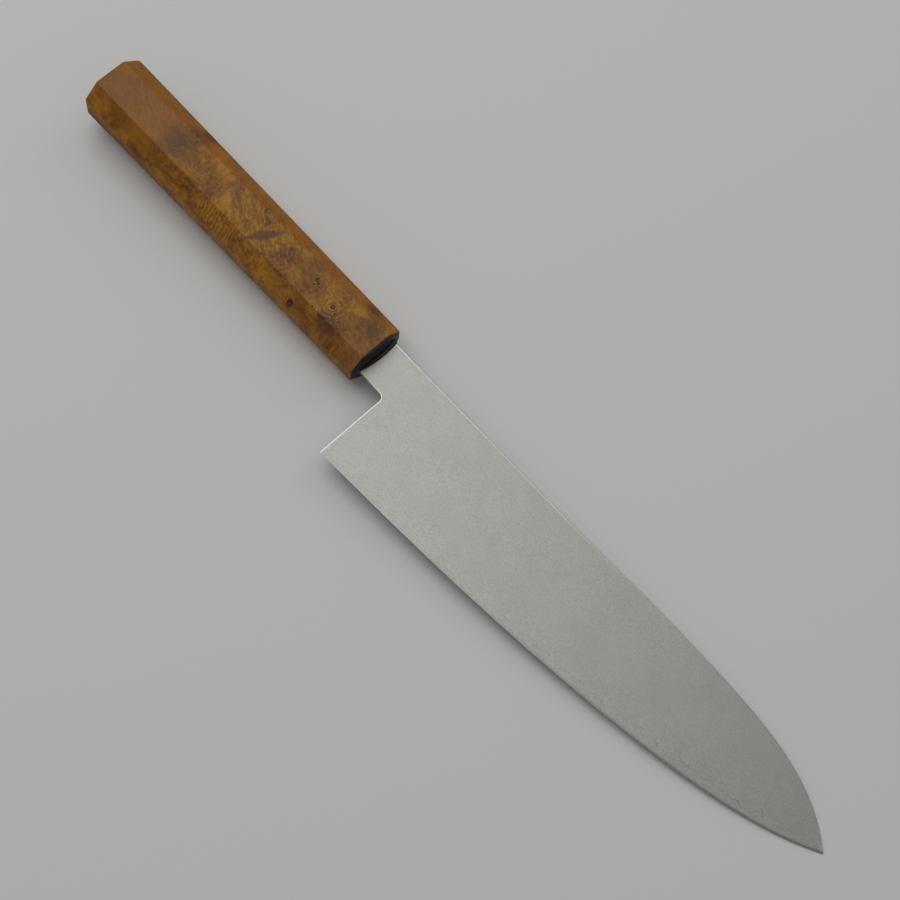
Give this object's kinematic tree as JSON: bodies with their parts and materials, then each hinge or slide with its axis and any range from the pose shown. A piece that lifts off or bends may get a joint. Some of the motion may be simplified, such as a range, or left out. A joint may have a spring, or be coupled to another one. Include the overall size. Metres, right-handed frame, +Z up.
{
  "type": "chef knife",
  "caption": "Lying chef knife with a laminated, double-ground blade, an open finger notch at the heel and a tapered octagonal burl-wood handle glued over a hidden tang.",
  "frame": {"origin": "centre of the part's box, on the surface that it lies on", "axes": "+X from the handle to the tip, +Y from the cutting edge to the spine, +Z up, out of the right face; the handle leans down to the tip by about 2.2 degrees, as the knife rests"},
  "size_m": [0.366, 0.0506, 0.0242],
  "materials": {
    "core_steel": "polished",
    "cladding_steel": "satin",
    "burl_wood": "satin",
    "dowel_wood": "matte",
    "adhesive": "satin",
    "black_plate": "satin",
    "black_resin": "gloss"
  },
  "bodies": {
    "root": {"blade_core": "core_steel", "cladding_right": "cladding_steel", "cladding_left": "cladding_steel", "handle_body": "burl_wood", "tang_dowel": "dowel_wood", "tang_bond": "adhesive", "end_plate": "black_plate", "neck_seal": "black_resin"}
  },
  "joints": []
}
